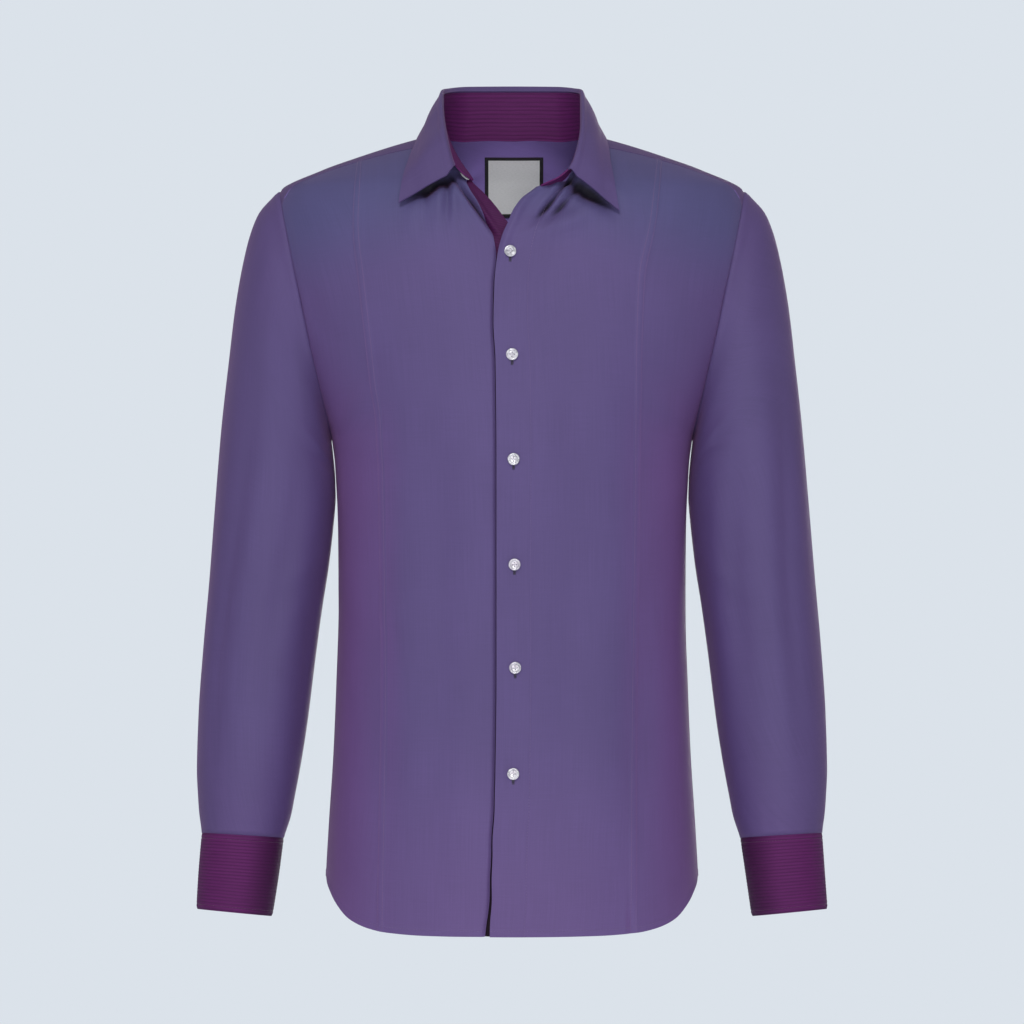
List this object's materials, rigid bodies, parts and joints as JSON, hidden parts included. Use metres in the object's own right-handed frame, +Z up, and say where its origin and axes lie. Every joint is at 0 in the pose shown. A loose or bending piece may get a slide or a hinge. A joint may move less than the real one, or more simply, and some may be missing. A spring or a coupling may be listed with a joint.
{
  "type": "long-sleeved shirt",
  "caption": "Long-sleeved button-front shirt with a pointed collar, shaped fronts, a back yoke, contrast cuffs and a curved hem, hollow and filled out as when it is worn",
  "frame": {"origin": "Middle of the neck opening, level with the wearer's neck base, where the garment hangs from the shoulders.", "axes": "+Z is up, the buttoned fronts face -Y, and the wearer's left arm is on the +X side."},
  "size_m": [0.5768, 0.253, 0.7891],
  "materials": {
    "shot_cloth": "satin, shot purple and blue",
    "ribbed_cloth": "matte, finely ribbed",
    "label_cloth": "satin, woven",
    "shell": "pearly gloss"
  },
  "bodies": {
    "root": {"front_left_centre": "shot_cloth", "front_right_centre": "shot_cloth", "front_left_side": "shot_cloth", "front_right_side": "shot_cloth", "button_stand": "ribbed_cloth", "back": "shot_cloth", "yoke": "shot_cloth", "sleeve_left": "shot_cloth", "sleeve_right": "shot_cloth", "sleeve_placket_left": "shot_cloth", "sleeve_placket_right": "shot_cloth", "cuff_left": "ribbed_cloth", "cuff_right": "ribbed_cloth", "collar_stand": "ribbed_cloth", "collar_leaf": "shot_cloth", "neck_label": "label_cloth", "front_button_1": "shell", "front_button_2": "shell", "front_button_3": "shell", "front_button_4": "shell", "front_button_5": "shell", "front_button_6": "shell", "collar_button": "shell", "cuff_button_left": "shell", "cuff_button_right": "shell"}
  },
  "joints": []
}
